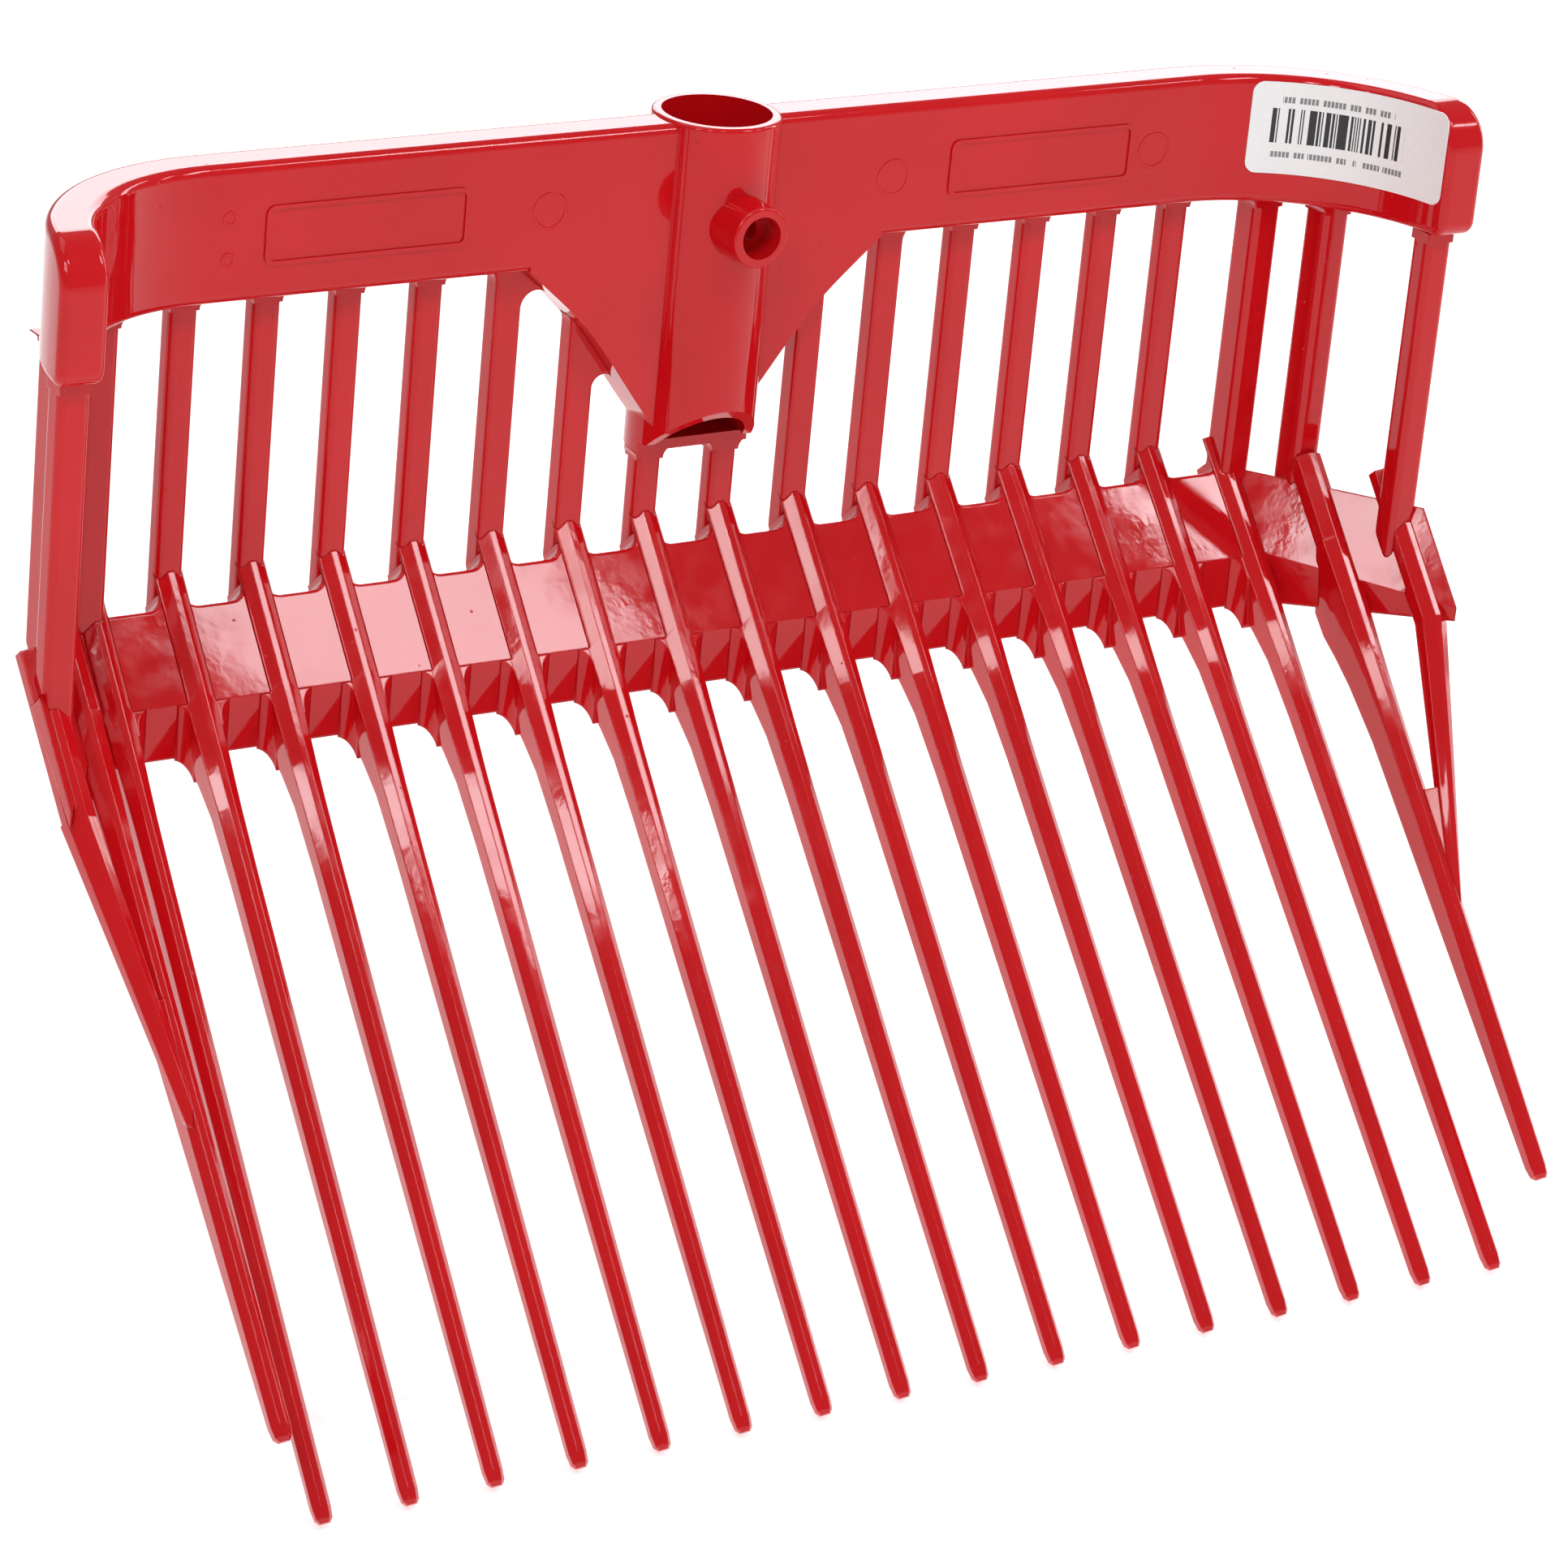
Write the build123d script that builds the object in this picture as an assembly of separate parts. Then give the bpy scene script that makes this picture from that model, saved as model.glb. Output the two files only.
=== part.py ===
from build123d import *
import os
from math import atan, cos, degrees, radians, sin, sqrt

# Head of an 18-tine stable fork, moulded in one piece.  Units are mm.
# Frame: Z runs up the handle socket, X runs along the top rail, and the
# scooping (hollow) side faces -Y.  The origin is at the mouth of the socket.

# ---------------------------------------------------------------- dimensions
PITCH = 23.0                    # spacing of the bars and tines

# top rail: straight in the middle, both ends sweep round towards -Y
RAIL_FRONT = -6.8
RAIL_BACK = 5.6
RAIL_TOP = -0.6
RAIL_BOTTOM = -36.0
INNER_X, INNER_R = 148.0, 49.5  # where the front face starts to curve, radius
OUTER_X, OUTER_R = 147.0, 63.0  # the same for the back face
RAIL_END_Y = -53.0              # plan position of the two end faces
RAIL_EDGE_R = 2.4
END_SPLIT_Y = -44.0             # the end blocks start here
NOSE_TOP_R, NOSE_LOW_R = 12.0, 4.0

# gussets: hollow outer edge as (x, z), moved outwards by the reach of each side
GUSSET_TOP_X, GUSSET_FOOT_X, GUSSET_FOOT_Z = 49.5, 6.0, -85.0
GUSSET_CURVE = ((43.5, -41.3), (32.2, -51.8), (21.2, -65.5))
GUSSET_REACH_RIGHT, GUSSET_REACH_LEFT = 0.0, 6.3
GUSSET_FILLET = 4.5

# handle socket
SOCKET_R = 16.8
BORE_R = 14.3                   # 28.6 mm handle
SOCKET_RIM_R = 1.0
SOCKET_BOTTOM = -87.0
FOOT_BOTTOM = -89.8
SLANT_Z0 = -91.9                # height of the slanted cut on the socket axis
SLANT_SLOPE = -0.97
FLOOR_FRONT = -2.0

# screw boss on the front of the socket
BOSS_Z = -26.0
BOSS_R = 8.0
BOSS_DRAFT = 0.9                # wider by this much at its root
BOSS_LIP_R = 0.8
BOSS_FRONT, BOSS_ROOT = -26.0, -8.0
BOSS_POCKET_R = 5.6
BOSS_POCKET_FLOOR = -18.6
SCREW_R = 3.0

# bars: (x, half width, front, back), index counted outwards from the centre
BAR_HALF = 3.9
BAR_FRONT, BAR_BACK = -0.6, 5.6
BAR_EDGE_R = 2.0
STRAIGHT_BARS = 7
BAR_17 = (174.8, 4.4, -7.5, 2.2)
BAR_18 = (189.6, 4.3, -19.0, -9.6)
BAR_19 = (202.4, 4.2, -47.8, -40.4)
BAR_LOW = -136.0                # longer than needed, cut off under the heel
BAR_TOP_FILLET = 3.0
FLARE_SPREAD = 0.8              # part of the fillet radius kept beside the bar
UNDER_GUSSET = (1, 2)           # these bars run up into a gusset
UNDER_GUSSET_EDGE_R = (1.2, 0.8)

# tines: every crest lies at this angle to the bars
TINE_ANGLE = 41.1
CREST_Y, CREST_Z = -1.725, -108.1
TINE_LENGTH = 238.8
TIP_SPREAD = 1.028              # tip spacing over bar spacing
CREST_HALF = 0.85
RIB_HEIGHT = 1.86
KEEL_TAPER = 0.72               # width of the underside over the full width
# sections of a tine: distance down the crest, half width, depth, share of extra depth
TINE_STATIONS = ((22.0, 4.35, 12.4, 1.0), (45.0, 3.85, 11.8, 1.0), (52.0, 3.6, 10.0, 1.0),
                 (61.0, 3.35, 8.2, 1.0), (78.0, 3.15, 7.4, 0.75))
TIP_HALF, TIP_DEPTH = 2.55, 4.8
TIP_TAPER = 4.0                 # the rounding of the tip starts this far from its end
# rounding of the tip: distance from the end, width and depth factors, crest, sink, rib
TIP_STEPS = ((1.2, 0.86, 0.9, 0.7, 0.3, 1.5), (0.0, 0.5, 0.7, 0.45, 1.0, 0.8))
RIB_START, RIB_END = -2.5, 60.0  # the ridge that carries a crest over the crossbar
RIB_HALF_TOP, RIB_HALF_END = 4.05, 4.0
RIB_SINK = 0.02                 # the ridge reaches this far into the plate
TINE_FLARE_R, TINE_FLARE_HALF = 4.2, 3.7
TINE_BACK_DEPTH = 11.6
OUTER_TINE_X = 189.6
OUTER_TINE_SHIFT = -20.6
OUTER_TINE_LENGTH = 206.5
OUTER_TINE_EXTRA = 5.0          # the outer tines are deeper along the braces
OUTER_RIB_DEPTH = 6.0
WING_BITE, WING_BACKSET = 1.5, 0.6  # how far body and ridge pass the wing's face

# crossbar at the heel: a plate laid along the tines
WEB_START = 7.3
WEB_END = 32.45
WEB_THICK = 9.4
WEB_EDGE_R = 1.0
PLATE_REACH = 60.0              # the plate's blank before it is cut to the facet
GAP_WIDENED = 1.4               # each window's foot reaches past the bar's front corner
WEB_FILLET = 4.0                # between the bars and the top of the plate
WING_X = 177.0                  # plan position where the wings turn forward
WING_END_X = 208.4
WING_SHIFT = -43.5
WING_WEB_END = 36.5
WING_FACE_BOTTOM = -140.8
WING_END_THICK = 6.0            # the wings grow thinner outwards

# side braces: each leaves a wing as a ridge and runs into the outer tine
BRACE_X = 203.9
BRACE_BEND = 41.0               # distance down the wing where the strut leaves it
BRACE_BACK_DEPTH, BRACE_DEPTH = 5.0, 6.0
BRACE_FOOT_X = 190.2
BRACE_FOOT_S = 131.0            # distance down the outer tine
BRACE_FOOT_HALF, BRACE_FOOT_DEPTH, BRACE_FOOT_SINK = 1.7, 4.6, 1.2
BRACE_WEB_FROM = 0.57           # part of the strut above the thin web
BRACE_WEB_THICK = 3.0

# barcode label, 57 x 25.4 mm, on the inside of the right end
LABEL_T = 0.25
LABEL_W, LABEL_H = 57.0, 25.4
LABEL_TOP = -2.0
LABEL_CORNER_R = 3.2
LABEL_START_DEG = 18.0

# raised name-plate frames on the rail
PLAQUE_LEFT_X = (-132.0, -75.0)
PLAQUE_RIGHT_X = (69.0, 127.0)
PLAQUE_Z0, PLAQUE_Z1 = -27.0, -11.6
PLAQUE_RISE, PLAQUE_LINE = 0.5, 1.1
PLAQUE_CORNER_R = 2.4

U = (0.0, -sin(radians(TINE_ANGLE)), -cos(radians(TINE_ANGLE)))   # down a tine
N = (0.0, -cos(radians(TINE_ANGLE)), sin(radians(TINE_ANGLE)))    # out of a crest

HUGE = 900.0                    # larger than the whole head
UPWARDS = (Align.CENTER, Align.CENTER, Align.MIN)

os.makedirs("parts", exist_ok=True)
parts = {}


# ------------------------------------------------------------------- helpers
def on_tine(s, depth, shift=0.0):
    """Y and Z of a point s down the crest and depth below it."""
    return (CREST_Y + shift + s * U[1] - depth * N[1],
            CREST_Z + s * U[2] - depth * N[2])


def at_plane(x, s, shift=0.0):
    """Plane square to a tine, local y pointing out of the crest."""
    y, z = on_tine(s, 0.0, shift)
    return Plane(origin=(x, y, z), x_dir=(1, 0, 0), z_dir=U)


def beyond(point, direction):
    """Everything on the far side of a plane."""
    return Plane(origin=point, z_dir=direction) * Box(HUGE, HUGE, HUGE, align=UPWARDS)


def yz_face(points, x):
    """Face through (y, z) points in the plane X = x."""
    return make_face(Polyline([(x, y, z) for y, z in points], close=True))


def one(shape):
    """The largest solid of a result."""
    return max(shape.solids(), key=lambda s: s.volume)


def softened(shape, edges, radii):
    """Fillet with the first radius that the edges accept."""
    for radius in radii:
        try:
            return fillet(edges, radius)
        except ValueError:
            continue
    return shape


def mirrored(shape):
    return mirror(shape, about=Plane.YZ)


# ---------------------------------------------------------------------- rail
def rail_outline():
    """Right half of the rail in plan, from the socket axis to the end face."""
    ci = (INNER_X, RAIL_FRONT - INNER_R)
    co = (OUTER_X, RAIL_BACK - OUTER_R)
    ai = degrees(atan((RAIL_END_Y - ci[1]) / sqrt(INNER_R**2 - (RAIL_END_Y - ci[1])**2)))
    ao = degrees(atan((RAIL_END_Y - co[1]) / sqrt(OUTER_R**2 - (RAIL_END_Y - co[1])**2)))
    inner = CenterArc((ci[0], ci[1], 0), INNER_R, ai, 90 - ai)
    outer = CenterArc((co[0], co[1], 0), OUTER_R, ao, 90 - ao)
    lines = [Line((0, RAIL_FRONT), (INNER_X, RAIL_FRONT)),
             Line((0, RAIL_FRONT), (0, RAIL_BACK)),
             Line((0, RAIL_BACK), (OUTER_X, RAIL_BACK)),
             Line(inner @ 0, outer @ 0)]
    return make_face(Wire([e for w in lines + [inner, outer] for e in w.edges()]))


rail = Pos(0, 0, RAIL_BOTTOM) * extrude(rail_outline(), RAIL_TOP - RAIL_BOTTOM)


def end_edge(z):
    return [e for e in rail.edges() if abs((e @ 0).Y - RAIL_END_Y) < 1e-4
            and abs((e @ 1).Y - RAIL_END_Y) < 1e-4
            and abs((e @ 0).Z - z) < 1e-4 and abs((e @ 1).Z - z) < 1e-4]


rail = fillet(end_edge(RAIL_TOP), NOSE_TOP_R)
rail = fillet(end_edge(RAIL_BOTTOM), NOSE_LOW_R)
top_edges = [e for e in rail.edges() if abs((e @ 0).Z - RAIL_TOP) < 1e-4
             and abs((e @ 1).Z - RAIL_TOP) < 1e-4 and e.length > 30]
rail = fillet(top_edges, RAIL_EDGE_R)
socket_outer = Pos(0, 0, FOOT_BOTTOM) * Cylinder(
    SOCKET_R, -FOOT_BOTTOM, align=UPWARDS)
rail_whole = one(rail - socket_outer)
end_zone = beyond((0, END_SPLIT_Y, 0), (0, -1, 0))
rail_right = one(rail_whole - end_zone)
end_block = one(rail_whole & end_zone)


def rooted(reach):
    """Rail whose lower edge stays square where a gusset joins it."""
    width = GUSSET_TOP_X + reach
    root = Pos(width / 2, (RAIL_FRONT + RAIL_BACK) / 2, RAIL_BOTTOM + RAIL_EDGE_R) * Box(
        width, RAIL_BACK - RAIL_FRONT, 2 * RAIL_EDGE_R)
    return one(rail_right + (root - socket_outer))


rails = {"right": rooted(GUSSET_REACH_RIGHT), "left": rooted(GUSSET_REACH_LEFT)}
parts["rail_right"] = rails["right"]
parts["rail_left"] = mirrored(rails["left"])
parts["rail_end_right"] = end_block
parts["rail_end_left"] = mirrored(end_block)

# -------------------------------------------------------------------- socket
tube = Pos(0, 0, SOCKET_BOTTOM) * Cylinder(
    SOCKET_R, -SOCKET_BOTTOM, align=UPWARDS)
rim = [e for e in tube.edges() if abs((e @ 0).Z) < 1e-6 and e.length > 90]
tube = fillet(rim, SOCKET_RIM_R)
bore = Pos(0, 0, -200) * Cylinder(BORE_R, 300,
                                  align=UPWARDS)
slant = beyond((0, 0, SLANT_Z0), (0, SLANT_SLOPE, -1))
screw_pocket = Plane(origin=(0, BOSS_FRONT - 1, BOSS_Z), z_dir=(0, 1, 0)) * Cylinder(
    BOSS_POCKET_R, BOSS_POCKET_FLOOR - BOSS_FRONT + 1,
    align=UPWARDS)
screw_hole = Plane(origin=(0, BOSS_FRONT - 1, BOSS_Z), z_dir=(0, 1, 0)) * Cylinder(
    SCREW_R, 1 - BOSS_FRONT, align=UPWARDS)
socket = one(tube - bore - slant - screw_hole - screw_pocket)
parts["handle_socket"] = socket

boss = Plane(origin=(0, BOSS_FRONT, BOSS_Z), z_dir=(0, 1, 0)) * Cone(
    BOSS_R, BOSS_R + BOSS_DRAFT, BOSS_ROOT - BOSS_FRONT,
    align=UPWARDS)
lip = [e for e in boss.edges() if abs((e @ 0).Y - BOSS_FRONT) < 1e-6]
boss = fillet(lip, BOSS_LIP_R)
boss = boss - (Pos(0, 0, FOOT_BOTTOM) * Cylinder(
    SOCKET_R, 2 * -FOOT_BOTTOM, align=UPWARDS))
parts["screw_boss"] = one(boss - screw_pocket - screw_hole)

# half floor under the back of the socket, which carries the middle bars
floor = Pos(0, 0, FOOT_BOTTOM) * Cylinder(
    SOCKET_R, SOCKET_BOTTOM - FOOT_BOTTOM,
    align=UPWARDS)
floor = floor & Pos(0, FLOOR_FRONT, -120) * Box(
    60, 60, 60, align=(Align.CENTER, Align.MIN, Align.MIN))
parts["socket_floor"] = one(floor)

# ------------------------------------------------------------------- gussets
def gusset_face(reach):
    """Outline of one gusset in the X-Z plane, its foot hidden in the socket."""
    top = (GUSSET_TOP_X + reach, RAIL_BOTTOM)
    foot = (GUSSET_FOOT_X + reach, GUSSET_FOOT_Z)
    edge = Spline(top, *[(x + reach, z) for x, z in GUSSET_CURVE], foot)
    rest = Polyline(foot, (0, GUSSET_FOOT_Z), (0, RAIL_BOTTOM), top)
    return make_face(Wire([e for w in (edge, rest) for e in w.edges()]))


def slab(face, front, back):
    """An X-Z outline extruded between two Y values."""
    return Plane(origin=(0, back, 0), x_dir=(1, 0, 0), z_dir=(0, -1, 0)) * extrude(
        face, back - front)


gussets = {}
for side, reach in (("right", GUSSET_REACH_RIGHT), ("left", GUSSET_REACH_LEFT)):
    gussets[side] = one(slab(gusset_face(reach), RAIL_FRONT, RAIL_BACK) - socket_outer)
parts["gusset_right"] = gussets["right"]
parts["gusset_left"] = mirrored(gussets["left"])

# ------------------------------------------------------------------ crossbar
def web_section(x, shift, s_end, z_low, thick):
    a, b = on_tine(WEB_START, RIB_HEIGHT, shift), on_tine(s_end, RIB_HEIGHT, shift)
    f = on_tine(WEB_START, RIB_HEIGHT + thick, shift)
    return yz_face([a, b, (b[0], z_low), f], x)


WEB_LOW = on_tine(0, RIB_HEIGHT + WEB_THICK)[1] + (
    (on_tine(WEB_END, RIB_HEIGHT)[0] - on_tine(0, RIB_HEIGHT + WEB_THICK)[0])
    * U[2] / U[1])
FACET_Y = on_tine(WEB_END, RIB_HEIGHT)[0]
bar_xs = [(k + 0.5) * PITCH for k in range(STRAIGHT_BARS)] + [BAR_17[0]]
bar_halves = [BAR_HALF] * STRAIGHT_BARS + [BAR_17[1]]
plate_plane = Plane(origin=(0, *on_tine(0, RIB_HEIGHT)), x_dir=(1, 0, 0), z_dir=N)
plate_top = WEB_START - WEB_FILLET
plate = Pos(0, -(plate_top + PLATE_REACH) / 2) * Rectangle(
    2 * WING_X, PLATE_REACH - plate_top)
gaps = [(-bar_xs[0] + BAR_HALF, bar_xs[0] - BAR_HALF)]
for k in range(len(bar_xs) - 1):
    lo, hi = bar_xs[k] + bar_halves[k], bar_xs[k + 1] - bar_halves[k + 1]
    gaps += [(lo, hi), (-hi, -lo)]
for lo, hi in gaps:
    lo -= GAP_WIDENED
    gap = Pos((lo + hi) / 2, -WEB_START + 10) * RectangleRounded(hi - lo, 20, WEB_FILLET)
    plate -= gap
web_mid = plate_plane * extrude(plate, -WEB_THICK)
web_mid = web_mid & beyond((0, FACET_Y, 0), (0, 1, 0))
front_rim = [e for e in web_mid.edges()
             if abs((Vector(e @ 0) - plate_plane.origin).dot(Vector(*N))) < 1e-3
             and abs((Vector(e @ 1) - plate_plane.origin).dot(Vector(*N))) < 1e-3
             and (e @ 0.5).Z > on_tine(WEB_START + 1, RIB_HEIGHT)[1]
             and e.length > 0.5]
web_mid = one(fillet(front_rim, WEB_EDGE_R))
wing = loft([web_section(WING_X, 0, WEB_END, WEB_LOW, WEB_THICK),
             web_section(WING_END_X, WING_SHIFT, WING_WEB_END, WING_FACE_BOTTOM,
                         WING_END_THICK)], ruled=True)
parts["crossbar_middle"] = web_mid
parts["crossbar_right"] = wing
parts["crossbar_left"] = mirrored(wing)
webs = [web_mid, wing, parts["crossbar_left"]]


# ---------------------------------------------------------------------- bars
def bar(x, half, front, back, top, shift, flared=True):
    """Upright bar, flared under the rail and cut to the underside of the heel."""
    r = BAR_TOP_FILLET
    outline = Pos(x, (top + BAR_LOW) / 2) * Rectangle(2 * half, top - BAR_LOW)
    side = Plane(origin=(0, back, 0), x_dir=(1, 0, 0), z_dir=(0, -1, 0))
    column = side * extrude(outline, back - front)
    upright = [e for e in column.edges() if abs((e @ 0).Z - (e @ 1).Z) > 10]
    spread = half + (FLARE_SPREAD * r if flared else 0)
    flare = Pos(x, top - r / 2) * Rectangle(2 * spread, r)
    if flared:
        for k in (-1, 1):
            flare -= Pos(x + k * (half + r), top - r) * Circle(r)
    shape = fillet(upright, BAR_EDGE_R) + side * extrude(flare, back - front)
    heel = beyond((x, *on_tine(0, RIB_HEIGHT + WEB_THICK, shift)), tuple(-c for c in N))
    shape = shape - heel
    for w in webs:
        shape = shape - w
    return one(shape)


def bar_under_gusset(x, reach, side):
    """Upright bar that runs up into a gusset with a rounded corner on each side."""
    reach_half = PITCH / 2
    column = Pos(x, -86) * Rectangle(2 * BAR_HALF, 100)
    strip = Pos(x, RAIL_BOTTOM + 5) * Rectangle(2 * reach_half, 10)
    near = Pos(x, -80) * Rectangle(2 * reach_half, 100)
    head = (gusset_face(reach) & near) + strip
    shape = slab(column + head, BAR_FRONT, BAR_BACK)
    for flank in (-BAR_HALF, BAR_HALF):
        corner = [e for e in shape.edges()
                  if abs((e @ 0).Y - (e @ 1).Y) > 1 and abs((e @ 0).Z - (e @ 1).Z) < 1e-4
                  and abs((e @ 0).X - x - flank) < 1e-3 and (e @ 0).Z > -100]
        shape = softened(shape, corner, (GUSSET_FILLET, 0.75 * GUSSET_FILLET,
                                         0.5 * GUSSET_FILLET))
    heel = beyond((x, *on_tine(0, RIB_HEIGHT + WEB_THICK)), tuple(-c for c in N))
    shape = shape - heel - web_mid - gussets[side] - rails[side] - socket_outer
    shape = one(shape)
    rims = [e for e in shape.edges() if abs((e @ 0).X - (e @ 1).X) < 1e-4
            and abs((e @ 0).Y - (e @ 1).Y) < 1e-4 and e.length > 25]
    return one(softened(shape, rims, UNDER_GUSSET_EDGE_R))


wing_slope = WING_SHIFT / (WING_END_X - WING_X)
bar_solids = {}
left_bars = {}
for k in range(STRAIGHT_BARS):
    x = (k + 0.5) * PITCH
    if k in UNDER_GUSSET:
        bar_solids[k] = bar_under_gusset(x, GUSSET_REACH_RIGHT, "right")
        left_bars[k] = bar_under_gusset(x, GUSSET_REACH_LEFT, "left")
    else:
        bar_solids[k] = bar(x, BAR_HALF, BAR_FRONT, BAR_BACK,
                            FOOT_BOTTOM if k == 0 else RAIL_BOTTOM, 0.0)
bar_solids[0] = one(bar_solids[0] & Pos(0, 0, BAR_LOW) * Cylinder(
    SOCKET_R, -BAR_LOW, align=UPWARDS))
for k, (x, half, front, back) in ((7, BAR_17), (8, BAR_18), (9, BAR_19)):
    shift = min(0.0, wing_slope * (x - WING_X))
    bar_solids[k] = one(bar(x, half, front, back, RAIL_BOTTOM, shift,
                            flared=k < 9) - rail_whole)


# --------------------------------------------------------------------- tines
def tine_section(x, s, shift, half, depth, crest=CREST_HALF, sink=0.0, keel=KEEL_TAPER,
                 rib=RIB_HEIGHT):
    pts = [(-crest, -sink), (crest, -sink), (half, -rib - sink),
           (half * keel, -depth), (-half * keel, -depth), (-half, -rib - sink)]
    return at_plane(x, s, shift) * make_face(Polyline(
        [(a, b, 0) for a, b in pts], close=True))


def tine_body(x, shift, length, extra=0.0):
    """Tapered tine from just behind the crossbar face to its rounded tip."""
    secs = [tine_section(x, at, shift, half, depth + share * extra)
            for at, half, depth, share in TINE_STATIONS]
    last, half, depth, _ = TINE_STATIONS[-1]
    taper = (length - last) / (TINE_LENGTH - last)
    half += (TIP_HALF - half) * taper
    depth += (TIP_DEPTH - depth) * taper
    secs.append(tine_section(x, length - TIP_TAPER, shift, half, depth))
    for back, narrower, thinner, crest, sink, rib in TIP_STEPS:
        secs.append(tine_section(x, length - back, shift, half * narrower, depth * thinner,
                                 crest=crest, sink=sink, rib=rib))
    return loft(secs, ruled=True)


def tine_rib(x, shift, s_end, depth):
    """Low ridge that carries the crest up over the crossbar."""
    return loft([tine_section(x, RIB_START, shift, RIB_HALF_TOP, depth, keel=1.0),
                 tine_section(x, s_end, shift, RIB_HALF_END, depth, keel=1.0)], ruled=True)


def facet_flare(x, facet_y, shift, r=TINE_FLARE_R, half=TINE_FLARE_HALF):
    """Hollow fillets between the crossbar face and the sides of a tine."""
    strip = Pos(x, facet_y - r / 2, -140) * Box(2 * (half + 0.86 * r), r, 50)
    for k in (-1, 1):
        strip -= Pos(x + k * (half + r), facet_y - r, -140) * Cylinder(r, 60)
    y0, z0 = on_tine(0, RIB_HEIGHT, shift)
    y1, z1 = on_tine(0, TINE_BACK_DEPTH, shift)
    strip -= beyond((x, y0, z0), N)
    strip -= beyond((x, y1, z1), tuple(-c for c in N))
    return strip


front_of_web = beyond((0, FACET_Y, 0), (0, -1, 0))
behind_facet = beyond((0, FACET_Y, 0), (0, 1, 0))
straight_tine = {}
for k in range(8):
    x = (k + 0.5) * PITCH
    spread = degrees(atan((TIP_SPREAD - 1) * x / TINE_LENGTH))
    turn = Location(Plane(origin=(x, CREST_Y, CREST_Z), x_dir=(1, 0, 0), z_dir=N))
    spin = turn * Rot(0, 0, spread) * turn.inverse()
    body = (spin * tine_body(x, 0.0, TINE_LENGTH)) & front_of_web
    rib = (spin * tine_rib(x, 0.0, RIB_END, RIB_HEIGHT + RIB_SINK)) & behind_facet
    t = body + rib + facet_flare(x, FACET_Y, 0.0)
    for cut in (web_mid, wing, bar_solids[k]):
        t = t - cut
    straight_tine[k] = one(t)

# outermost tines, set forward on the wings
wx, wy = WING_END_X - WING_X, on_tine(WING_WEB_END, RIB_HEIGHT, WING_SHIFT)[0] - FACET_Y
facet_normal = (wy, -wx, 0)
wing_front = beyond((WING_X, FACET_Y, 0), facet_normal)
wing_back = beyond((WING_X, FACET_Y - WING_BACKSET, 0), tuple(-c for c in facet_normal))
body = tine_body(OUTER_TINE_X, OUTER_TINE_SHIFT, OUTER_TINE_LENGTH,
                 OUTER_TINE_EXTRA) & beyond((WING_X, FACET_Y + WING_BITE, 0), facet_normal)
rib = tine_rib(OUTER_TINE_X, OUTER_TINE_SHIFT, RIB_END, OUTER_RIB_DEPTH) & wing_back
outer_tine = body + rib
for cut in (wing, bar_solids[8]):
    outer_tine = outer_tine - cut
outer_tine = one(outer_tine)

# ------------------------------------------------------------------- braces
brace_shift = wing_slope * (BRACE_X - WING_X)
brace_rib = (tine_rib(BRACE_X, brace_shift, BRACE_BEND, BRACE_BACK_DEPTH) & wing_back) + (
    tine_rib(BRACE_X, brace_shift, BRACE_BEND, BRACE_DEPTH) & wing_front)
strut = loft([
    tine_section(BRACE_X, BRACE_BEND, brace_shift, RIB_HALF_END, BRACE_DEPTH, keel=1.0),
    tine_section(BRACE_FOOT_X, BRACE_FOOT_S, OUTER_TINE_SHIFT, BRACE_FOOT_HALF,
                 BRACE_FOOT_DEPTH, sink=BRACE_FOOT_SINK, rib=1.0)], ruled=True)
brace = one(brace_rib + strut - wing - bar_solids[9] - outer_tine)

# thin web in the corner between strut and tine
foot = Vector(BRACE_FOOT_X, *on_tine(BRACE_FOOT_S, BRACE_FOOT_DEPTH / 2, OUTER_TINE_SHIFT))
bend = Vector(BRACE_X, *on_tine(BRACE_BEND, BRACE_DEPTH / 2, brace_shift))
on_strut = bend + (foot - bend) * BRACE_WEB_FROM
along = BRACE_FOOT_S - (1 - BRACE_WEB_FROM) * (foot - bend).length
beside = Vector(OUTER_TINE_X, *on_tine(along, BRACE_FOOT_DEPTH / 2, OUTER_TINE_SHIFT))
web_plate = extrude(make_face(Polyline([foot, on_strut, beside], close=True)),
                    BRACE_WEB_THICK / 2, both=True)
web_plate = one(web_plate - outer_tine - brace)

# --------------------------------------------------------- numbering of rows
for k, s in bar_solids.items():
    parts[f"bar_{10 + k:02d}"] = s
    parts[f"bar_{9 - k:02d}"] = one(mirrored(left_bars.get(k, s)) - web_mid)
for k, s in straight_tine.items():
    parts[f"tine_{10 + k:02d}"] = s
    parts[f"tine_{9 - k:02d}"] = one(mirrored(s) - web_mid - parts[f"bar_{9 - k:02d}"])
parts["tine_18"] = outer_tine
parts["tine_01"] = mirrored(outer_tine)
parts["side_brace_right"] = brace
parts["side_brace_left"] = mirrored(brace)
parts["brace_web_right"] = web_plate
parts["brace_web_left"] = mirrored(web_plate)

# --------------------------------------------------------------------- label
cx, cy = INNER_X, RAIL_FRONT - INNER_R
span = degrees(LABEL_W / (INNER_R - LABEL_T / 2))
a1 = 90 - LABEL_START_DEG
band = make_face(Wire([e for w in (
    CenterArc((cx, cy, 0), INNER_R, a1 - span, span),
    CenterArc((cx, cy, 0), INNER_R - LABEL_T, a1 - span, span),
    Line(*[(cx + r * cos(radians(a1)), cy + r * sin(radians(a1)), 0)
           for r in (INNER_R, INNER_R - LABEL_T)]),
    Line(*[(cx + r * cos(radians(a1 - span)), cy + r * sin(radians(a1 - span)), 0)
           for r in (INNER_R, INNER_R - LABEL_T)])) for e in w.edges()]))
label = Pos(0, 0, LABEL_TOP - LABEL_H) * extrude(band, LABEL_H)
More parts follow.
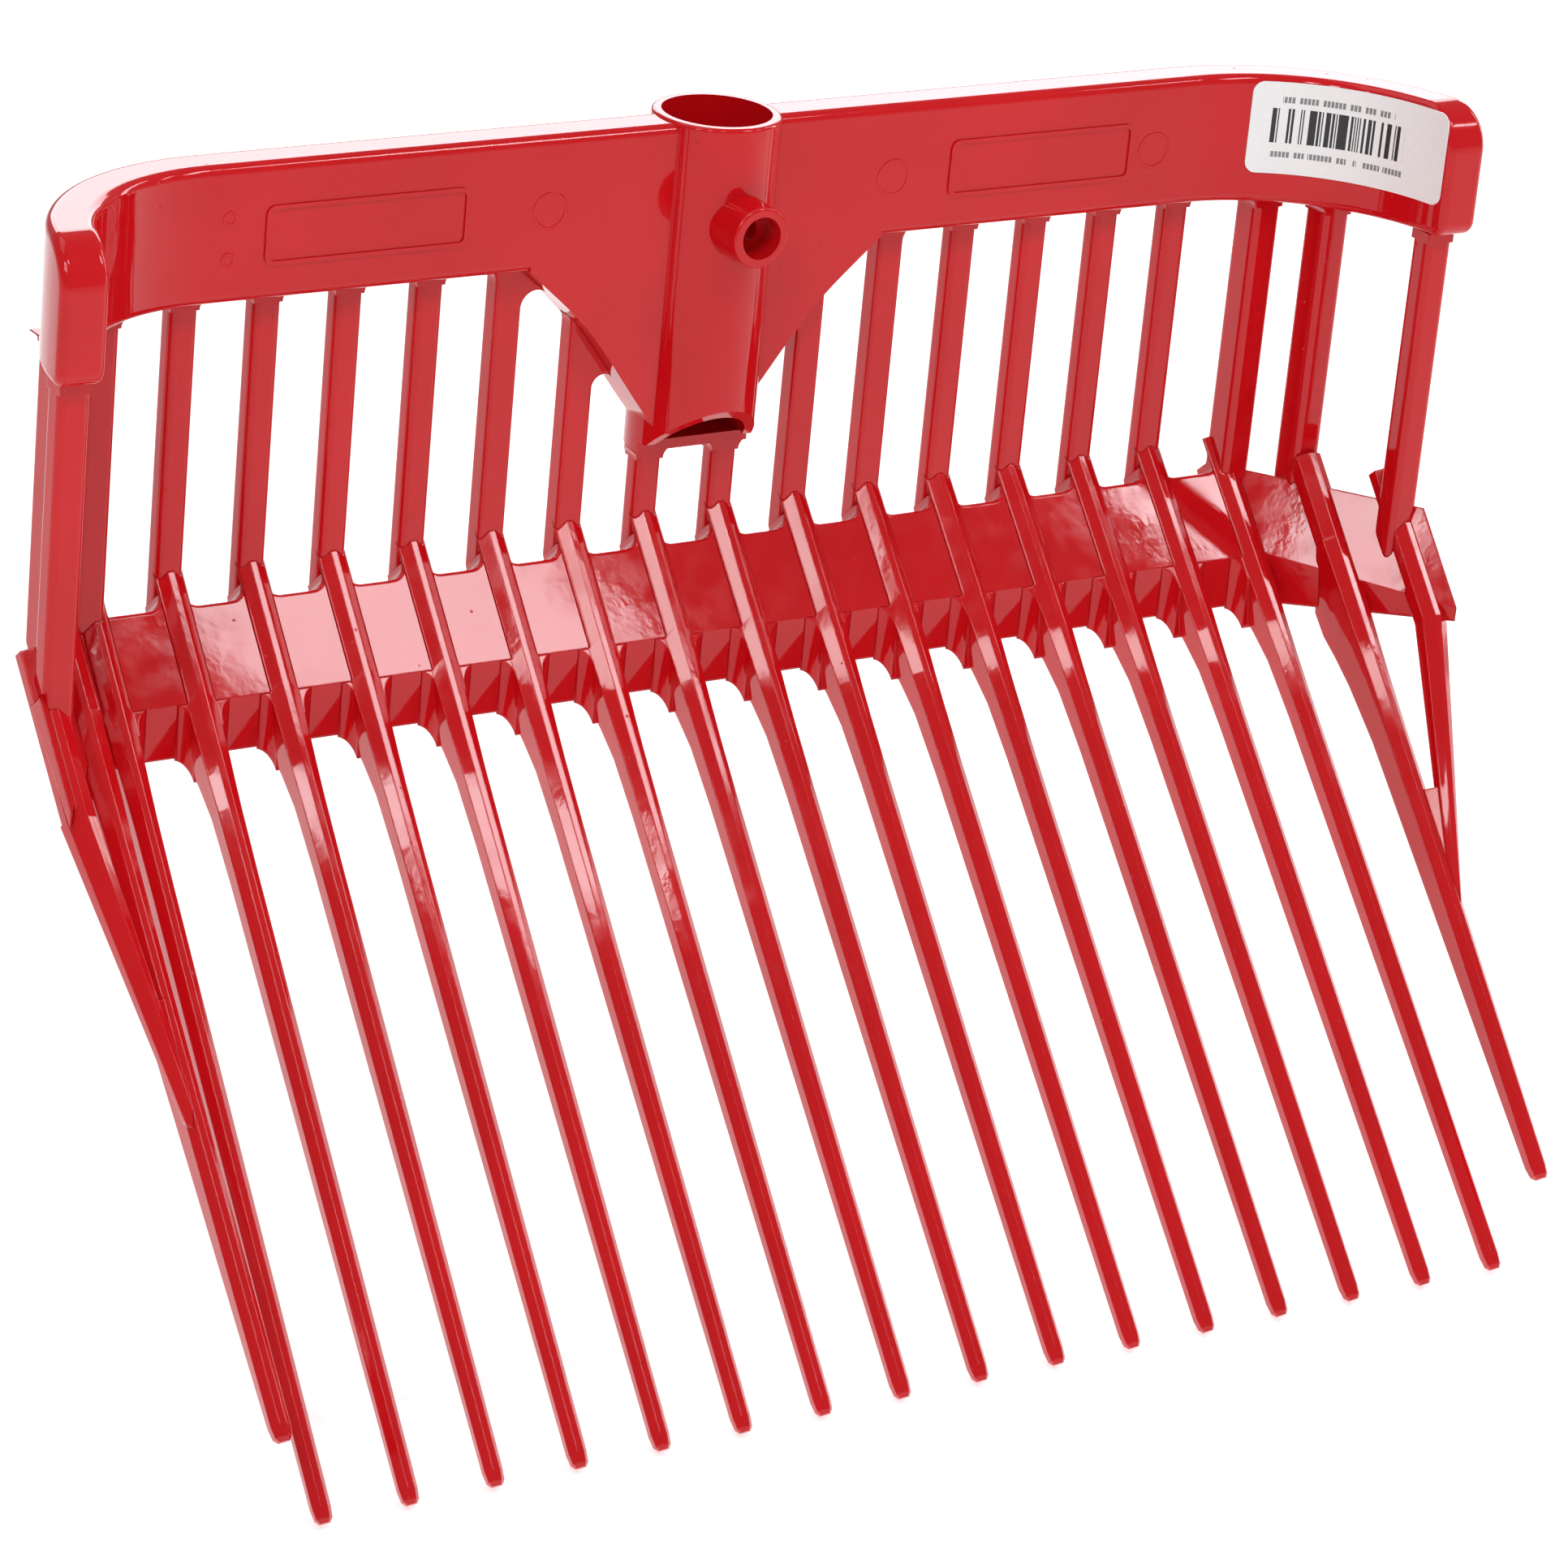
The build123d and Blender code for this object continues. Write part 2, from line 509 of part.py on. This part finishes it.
short = [e for e in label.edges() if e.length < LABEL_T * 1.5]
label = fillet(short, LABEL_CORNER_R)
parts["barcode_label"] = one(label - rail_whole)

# ------------------------------------------------------------ plaque frames
for side, (px0, px1) in (("left", PLAQUE_LEFT_X), ("right", PLAQUE_RIGHT_X)):
    pw, ph = px1 - px0, PLAQUE_Z1 - PLAQUE_Z0
    ring = RectangleRounded(pw, ph, PLAQUE_CORNER_R) - RectangleRounded(
        pw - 2 * PLAQUE_LINE, ph - 2 * PLAQUE_LINE, PLAQUE_CORNER_R - PLAQUE_LINE + 0.1)
    parts[f"plaque_frame_{side}"] = Plane(
        origin=((px0 + px1) / 2, RAIL_FRONT, (PLAQUE_Z0 + PLAQUE_Z1) / 2),
        x_dir=(1, 0, 0), z_dir=(0, -1, 0)) * extrude(ring, PLAQUE_RISE)

for name, shape in parts.items():
    shape.label = name
    export_step(shape, f"parts/{name}.step")
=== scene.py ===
"""Looks of the bedding fork head: glossy red moulding with a white barcode label."""
from math import cos, pi, radians, sin

import bpy
from mathutils import Matrix, Vector


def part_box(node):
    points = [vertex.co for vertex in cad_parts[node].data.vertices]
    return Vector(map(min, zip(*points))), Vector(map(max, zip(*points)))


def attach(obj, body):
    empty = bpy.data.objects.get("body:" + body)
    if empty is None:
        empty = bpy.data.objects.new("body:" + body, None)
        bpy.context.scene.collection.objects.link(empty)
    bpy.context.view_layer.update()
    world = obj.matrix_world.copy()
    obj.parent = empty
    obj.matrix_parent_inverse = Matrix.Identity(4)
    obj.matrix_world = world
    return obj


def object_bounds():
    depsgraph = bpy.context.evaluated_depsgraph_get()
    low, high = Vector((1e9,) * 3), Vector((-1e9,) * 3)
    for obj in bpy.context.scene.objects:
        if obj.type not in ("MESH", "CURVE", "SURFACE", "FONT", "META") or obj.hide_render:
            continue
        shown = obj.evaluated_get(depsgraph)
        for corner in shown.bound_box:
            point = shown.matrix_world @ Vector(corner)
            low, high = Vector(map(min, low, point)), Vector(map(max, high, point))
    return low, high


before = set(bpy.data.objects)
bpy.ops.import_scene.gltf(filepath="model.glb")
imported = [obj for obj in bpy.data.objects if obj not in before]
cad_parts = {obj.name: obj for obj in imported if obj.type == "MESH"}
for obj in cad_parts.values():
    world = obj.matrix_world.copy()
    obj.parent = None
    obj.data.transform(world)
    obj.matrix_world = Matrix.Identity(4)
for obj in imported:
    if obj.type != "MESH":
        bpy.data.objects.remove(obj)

CAD_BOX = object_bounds()

MM = 0.001

# ------------------------------------------------------------------ node help


class Graph:
    """Short calls for building a material's node tree."""

    def __init__(self, name):
        self.material = bpy.data.materials.new(name)
        self.material.use_nodes = True
        self.tree = self.material.node_tree
        self.tree.nodes.clear()
        self.output = self.node("ShaderNodeOutputMaterial")
        self.shader = self.node("ShaderNodeBsdfPrincipled")
        self.link(self.shader.outputs["BSDF"], self.output.inputs["Surface"])
        self.place = self.node("ShaderNodeTexCoord").outputs["Object"]

    def node(self, kind, **settings):
        made = self.tree.nodes.new(kind)
        for key, value in settings.items():
            setattr(made, key, value)
        return made

    def link(self, a, b):
        self.tree.links.new(a, b)

    def feed(self, socket, value):
        if isinstance(value, bpy.types.NodeSocket):
            self.link(value, socket)
        else:
            socket.default_value = value

    def math(self, operation, a, b=0.0, c=0.0, clamp=False):
        made = self.node("ShaderNodeMath", operation=operation, use_clamp=clamp)
        for socket, value in zip(made.inputs, (a, b, c)):
            self.feed(socket, value)
        return made.outputs[0]

    def ramp_range(self, value, low, high, out_low=0.0, out_high=1.0):
        """Smooth step from out_low at low to out_high at high."""
        made = self.node("ShaderNodeMapRange", interpolation_type="SMOOTHSTEP")
        for socket, v in zip(made.inputs[:5], (value, low, high, out_low, out_high)):
            self.feed(socket, v)
        return made.outputs[0]

    def noise(self, scale, detail=2.0, roughness=0.5):
        made = self.node("ShaderNodeTexNoise")
        self.link(self.place, made.inputs["Vector"])
        made.inputs["Scale"].default_value = scale
        made.inputs["Detail"].default_value = detail
        made.inputs["Roughness"].default_value = roughness
        return made.outputs["Fac"]

    def specks(self, cell, radius):
        """1 in small dots scattered at random, 0 elsewhere."""
        made = self.node("ShaderNodeTexVoronoi")
        self.link(self.place, made.inputs["Vector"])
        made.inputs["Scale"].default_value = 1.0 / cell
        return self.ramp_range(made.outputs["Distance"], radius / cell,
                               0.5 * radius / cell)

    def mix(self, factor, a, b):
        made = self.node("ShaderNodeMix", data_type="RGBA")
        for name, value in (("Factor", factor), ("A", a), ("B", b)):
            socket = next(s for s in made.inputs if s.name == name and s.enabled)
            self.feed(socket, value)
        return next(s for s in made.outputs if s.enabled)

    def bump(self, height, strength, distance, normal=None):
        made = self.node("ShaderNodeBump")
        made.inputs["Strength"].default_value = strength
        made.inputs["Distance"].default_value = distance
        self.link(height, made.inputs["Height"])
        if normal is not None:
            self.link(normal, made.inputs["Normal"])
        return made.outputs["Normal"]

    def axes(self):
        split = self.node("ShaderNodeSeparateXYZ")
        self.link(self.place, split.inputs[0])
        return split.outputs


# ------------------------------------------------------------------ materials
RED = (0.60, 0.0048, 0.0085, 1)
RED_DEEP = (0.54, 0.0036, 0.0065, 1)
RED_PALE = (0.62, 0.0085, 0.015, 1)
EDGE_ROUNDING = 0.55 * MM
DRIFT_SCALE, STREAK_SCALE = 18.0, 60.0          # noise scales of the colour, per metre
GLOSS_SCALE, WAVE_SCALE, SKIN_SCALE = 140.0, 26.0, 420.0
PIT_CELL, PIT_RADIUS = 7.0 * MM, 0.42 * MM
MOTE_CELL, MOTE_RADIUS = 11.0 * MM, 0.5 * MM
GLOSSIEST, DULLEST, PIT_DULLNESS = 0.035, 0.085, 0.25
WAVE_HEIGHT, SKIN_HEIGHT, PIT_DEPTH = 0.9 * MM, 0.12 * MM, 0.12 * MM


def red_plastic(name, edge_rounding=0.0):
    """Glossy moulded plastic: soft colour drift, waviness, tiny pits and specks."""
    g = Graph(name)
    drift = g.noise(DRIFT_SCALE, 3.0)
    streak = g.noise(STREAK_SCALE, 4.0, 0.6)
    pits = g.specks(PIT_CELL, PIT_RADIUS)
    motes = g.specks(MOTE_CELL, MOTE_RADIUS)
    base = g.mix(g.ramp_range(drift, 0.35, 0.7), RED_DEEP, RED)
    base = g.mix(g.math("MULTIPLY", streak, 0.25), base, RED_PALE)
    base = g.mix(g.math("MULTIPLY", motes, 0.5), base, RED_DEEP)
    g.link(base, g.shader.inputs["Base Color"])
    rough = g.ramp_range(g.noise(GLOSS_SCALE, 3.0), 0.3, 0.7, GLOSSIEST, DULLEST)
    rough = g.math("ADD", rough, g.math("MULTIPLY", pits, PIT_DULLNESS))
    g.link(rough, g.shader.inputs["Roughness"])
    g.shader.inputs["IOR"].default_value = 1.49
    g.shader.inputs["Specular IOR Level"].default_value = 0.38
    rounded = None
    if edge_rounding:
        bevel = g.node("ShaderNodeBevel", samples=6)
        bevel.inputs["Radius"].default_value = edge_rounding
        rounded = bevel.outputs[0]
    wave = g.bump(g.noise(WAVE_SCALE, 2.0), 0.16, WAVE_HEIGHT, rounded)
    skin = g.bump(g.noise(SKIN_SCALE, 2.0), 0.08, SKIN_HEIGHT, wave)
    holes = g.bump(g.math("SUBTRACT", 1.0, pits), 0.6, PIT_DEPTH, skin)
    g.link(holes, g.shader.inputs["Normal"])
    return g.material


LABEL_CENTRE = (148.0 * MM, -56.3 * MM)    # axis of the rail's inner curve
LABEL_RADIUS = 49.4 * MM
PRINT_START = 17.0                    # mm along the label's arc
BAR_CELL, BAR_INK = 0.34, 0.5         # module width of the barcode and share of dark ones
DASH = 1.05                           # mm from one dash to the next
CODE_INK, LINE_CELL, LINE_INK = 0.72, 0.95, 0.78
PAPER_DARK, PAPER_LIGHT = (0.83, 0.83, 0.83, 1), (0.90, 0.90, 0.89, 1)
INK = (0.018, 0.018, 0.02, 1)


def label_paper():
    """White satin label with a printed barcode and rows of plain dashes."""
    g = Graph("label_paper")
    x, y, z = g.axes()
    low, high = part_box("barcode_label")
    angle = g.math("ARCTAN2", g.math("SUBTRACT", x, LABEL_CENTRE[0]),
                   g.math("SUBTRACT", y, LABEL_CENTRE[1]))
    along = g.math("MULTIPLY", angle, LABEL_RADIUS / MM)
    drop = g.math("MULTIPLY", g.math("SUBTRACT", high.z, z), 1.0 / MM)

    def between(value, a, b, soft=0.06):
        return g.math("MULTIPLY", g.ramp_range(value, a - soft, a + soft),
                      g.ramp_range(value, b + soft, b - soft))

    def printed(cell, fill, a0, a1, d0, d1, seed):
        """Random ink cells from a0 to a1 along the label and d0 to d1 below its top."""
        dice = g.node("ShaderNodeTexWhiteNoise", noise_dimensions="1D")
        g.link(g.math("ADD", g.math("FLOOR", g.math("DIVIDE", along, cell)), seed),
               dice.inputs["W"])
        ink = g.math("LESS_THAN", dice.outputs["Value"], fill)
        window = g.math("MULTIPLY", between(along, a0, a1), between(drop, d0, d1))
        return g.math("MULTIPLY", ink, window)

    start = PRINT_START
    bars = printed(BAR_CELL, BAR_INK, start + 4.5, start + 41.5, 7.2, 16.8, 3.0)
    code = printed(DASH, CODE_INK, start + 7.0, start + 38.0, 4.0, 5.7, 11.0)
    line = printed(LINE_CELL, LINE_INK, start + 5.0, start + 42.0, 19.2, 20.8, 29.0)
    gaps = g.math("GREATER_THAN", g.math("FRACT", g.math("DIVIDE", along, DASH)), 0.24)
    dashes = g.math("MULTIPLY", g.math("MAXIMUM", code, line), gaps)
    ink = g.math("MAXIMUM", bars, g.math("MULTIPLY", dashes, 0.75), clamp=True)
    fibre = g.noise(700.0, 4.0)
    paper = g.mix(fibre, PAPER_DARK, PAPER_LIGHT)
    g.link(g.mix(ink, paper, INK), g.shader.inputs["Base Color"])
    g.link(g.ramp_range(fibre, 0.3, 0.7, 0.3, 0.42), g.shader.inputs["Roughness"])
    wrinkle = g.bump(g.noise(60.0, 2.0), 0.25, 0.5 * MM)
    g.link(g.bump(fibre, 0.06, 0.05 * MM, wrinkle), g.shader.inputs["Normal"])
    return g.material


FLOOR_DARK, FLOOR_LIGHT = (0.94, 0.94, 0.94, 1), (0.97, 0.97, 0.97, 1)
FLOOR_GLOW = 0.42


def floor_material():
    """Plain pale paper that glows a little, so the background stays white."""
    g = Graph("studio_floor")
    tone = g.noise(3.0, 2.0)
    g.link(g.mix(tone, FLOOR_DARK, FLOOR_LIGHT), g.shader.inputs["Base Color"])
    g.shader.inputs["Roughness"].default_value = 0.9
    g.shader.inputs["Emission Color"].default_value = (1, 1, 1, 1)
    g.shader.inputs["Emission Strength"].default_value = FLOOR_GLOW
    g.shader.inputs["Specular IOR Level"].default_value = 0.0
    return g.material


RED_MATERIAL = red_plastic("moulded_red_plastic")
RED_ROUNDED = red_plastic("moulded_red_plastic_rounded", EDGE_ROUNDING)
LABEL_MATERIAL = label_paper()
ROUNDED_NODES = ("bar_", "tine_", "crossbar_", "side_brace_", "brace_web_")


def look_of(name):
    if name == "barcode_label":
        return LABEL_MATERIAL
    return RED_ROUNDED if name.startswith(ROUNDED_NODES) else RED_MATERIAL


for name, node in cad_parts.items():
    node.data.materials.clear()
    node.data.materials.append(look_of(name))

# --------------------------------------------------------------------- camera
CAMERA_SIDE = radians(34.22)          # to the left of the rail's front
CAMERA_RISE = radians(22.18)
CAMERA_ROLL = radians(5.54)
CAMERA_PLACE = Vector((-854.9, -1316.5, 457.5)) * MM
CAMERA_LENS = 146.79                  # mm on a 36 mm sensor


def add_camera():
    back = Vector((-sin(CAMERA_SIDE) * cos(CAMERA_RISE),
                   -cos(CAMERA_SIDE) * cos(CAMERA_RISE), sin(CAMERA_RISE)))
    level = Vector((cos(CAMERA_SIDE), -sin(CAMERA_SIDE), 0))
    upright = back.cross(level)
    right = cos(CAMERA_ROLL) * level + sin(CAMERA_ROLL) * upright
    up = cos(CAMERA_ROLL) * upright - sin(CAMERA_ROLL) * level
    data = bpy.data.cameras.new("camera")
    data.lens = CAMERA_LENS
    data.sensor_width = 36
    data.clip_end = 50
    camera = bpy.data.objects.new("camera", data)
    bpy.context.scene.collection.objects.link(camera)
    camera.matrix_world = Matrix.Translation(CAMERA_PLACE) @ Matrix(
        (right, up, back)).transposed().to_4x4()
    bpy.context.scene.camera = camera


add_camera()

# --------------------------------------------------------------------- lights
TINE_LEAN = radians(41.1)
PLATE_NORMAL = Vector((0, -cos(TINE_LEAN), sin(TINE_LEAN)))


def softbox(name, centre, target, size, power, colour=(1, 1, 1)):
    """Rectangular area light at centre that shines towards target."""
    data = bpy.data.lights.new(name, "AREA")
    data.shape = "RECTANGLE"
    data.size, data.size_y = size
    data.energy = power
    data.color = colour
    light = bpy.data.objects.new(name, data)
    bpy.context.scene.collection.objects.link(light)
    light.location = centre
    light.rotation_euler = (Vector(centre) - Vector(target)).to_track_quat("Z", "Y").to_euler()


def mirrored_place(point, normal, distance):
    """Where a light has to stand to show in a flat face from the camera."""
    ray = (Vector(point) - CAMERA_PLACE).normalized()
    bounced = ray - 2 * ray.dot(normal) * normal
    return Vector(point) + bounced * distance


COOL_WHITE = (0.93, 0.97, 1.0)
WING_SLOPE = -1.385                   # how far the wings come forward per unit outward
CREST = Vector((0, -sin(TINE_LEAN), -cos(TINE_LEAN)))
WING_NORMAL = Vector((1, WING_SLOPE, 0)).cross(CREST).normalized()
if WING_NORMAL.z < 0:
    WING_NORMAL.negate()
PLATE_Y, PLATE_Z = -0.010, -0.122     # middle of the crossbar plate
PANEL_LIGHT_DISTANCE, BLOCK_LIGHT_DISTANCE = 1.1, 0.9
for name, point, normal, size, power in (
        ("plate_light_left", (-91 * MM, PLATE_Y, PLATE_Z), PLATE_NORMAL, (0.135, 0.30), 1.85),
        ("plate_light_right", (162 * MM, PLATE_Y, PLATE_Z), PLATE_NORMAL, (0.045, 0.30), 0.75),
        ("wing_light", (197 * MM, -0.036, -0.128), WING_NORMAL, (0.06, 0.30), 0.9)):
    softbox(name, mirrored_place(point, normal, PANEL_LIGHT_DISTANCE), point, size, power,
            COOL_WHITE)
softbox("top_light", (-0.3, 0.5, 1.6), (0, 0, -0.1), (1.6, 0.9), 5)
softbox("key_light", (-1.2, -1.25, 1.35), (0, 0, -0.15), (0.2, 0.9), 7)
softbox("right_strip", (1.6, 0.0, 0.45), (0, -0.05, -0.15), (0.2, 1.5), 7)
softbox("rear_light", (0.9, 1.45, 0.62), (0, 0, 0), (1.7, 0.6), 13, COOL_WHITE)
BLOCK_CORNER = (-205 * MM, -0.050, -0.006)
BLOCK_NORMAL = Vector((-0.2, -0.75, 0.63)).normalized()
softbox("end_block_light", mirrored_place(BLOCK_CORNER, BLOCK_NORMAL, BLOCK_LIGHT_DISTANCE),
        BLOCK_CORNER, (0.1, 0.12), 1.0)

WORLD_STRENGTH = 0.33
world = bpy.data.worlds.new("studio")
world.use_nodes = True
background = world.node_tree.nodes["Background"]
background.inputs["Color"].default_value = (1, 1, 1, 1)
background.inputs["Strength"].default_value = WORLD_STRENGTH
bpy.context.scene.world = world
bpy.context.scene.view_settings.view_transform = "Standard"

# ---------------------------------------------------------------------- floor
FLOOR_GAP = 1 * MM                    # below the lowest tine tip
FLOOR_HALF = 8.0


def add_floor():
    mesh = bpy.data.meshes.new("floor")
    z = CAD_BOX[0][2] - FLOOR_GAP
    r = FLOOR_HALF
    mesh.from_pydata([(-r, -r, z), (r, -r, z), (r, r, z), (-r, r, z)], [], [(0, 1, 2, 3)])
    floor = bpy.data.objects.new("floor", mesh)
    bpy.context.scene.collection.objects.link(floor)
    mesh.materials.append(floor_material())


add_floor()

# ----------------------------------------------------------------- ejector marks
RAIL_FACE_Y = -6.8 * MM
MARK_SINK, MARK_TUBE, MARK_HEIGHT = 0.02 * MM, 0.5 * MM, 0.2 * MM
RING_STEPS, RING_SIDES = 48, 8
# x, z and radius of each ring, in mm
MARKS = ((51.5, -20.0, 4.6), (-51.5, -20.0, 4.6), (134.3, -19.6, 4.6),
         (-141.9, -14.0, 1.6), (-141.9, -24.6, 1.6))


def ring_mesh(name, centre, radius, tube, height):
    """Low round bead lying on the rail's front face."""
    steps, sides = RING_STEPS, RING_SIDES
    verts, faces = [], []
    for i in range(steps):
        a = 2 * pi * i / steps
        for j in range(sides + 1):
            b = pi * j / sides
            r = radius + tube * cos(b)
            verts.append((centre[0] + r * cos(a), centre[1] - height * sin(b),
                          centre[2] + r * sin(a)))
    row = sides + 1
    for i in range(steps):
        n = (i + 1) % steps
        for j in range(row):
            k = (j + 1) % row
            faces.append((i * row + j, i * row + k, n * row + k, n * row + j))
    mesh = bpy.data.meshes.new(name)
    mesh.from_pydata(verts, [], faces)
    mesh.polygons.foreach_set("use_smooth", [True] * len(mesh.polygons))
    mesh.update()
    return mesh


for number, (x, z, radius) in enumerate(MARKS, 1):
    name = f"ejector_mark_{number}"
    mesh = ring_mesh(name, (x * MM, RAIL_FACE_Y + MARK_SINK, z * MM), radius * MM,
                     MARK_TUBE, MARK_HEIGHT)
    mesh.materials.append(RED_MATERIAL)
    mark = bpy.data.objects.new(name, mesh)
    bpy.context.scene.collection.objects.link(mark)
    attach(mark, "root")
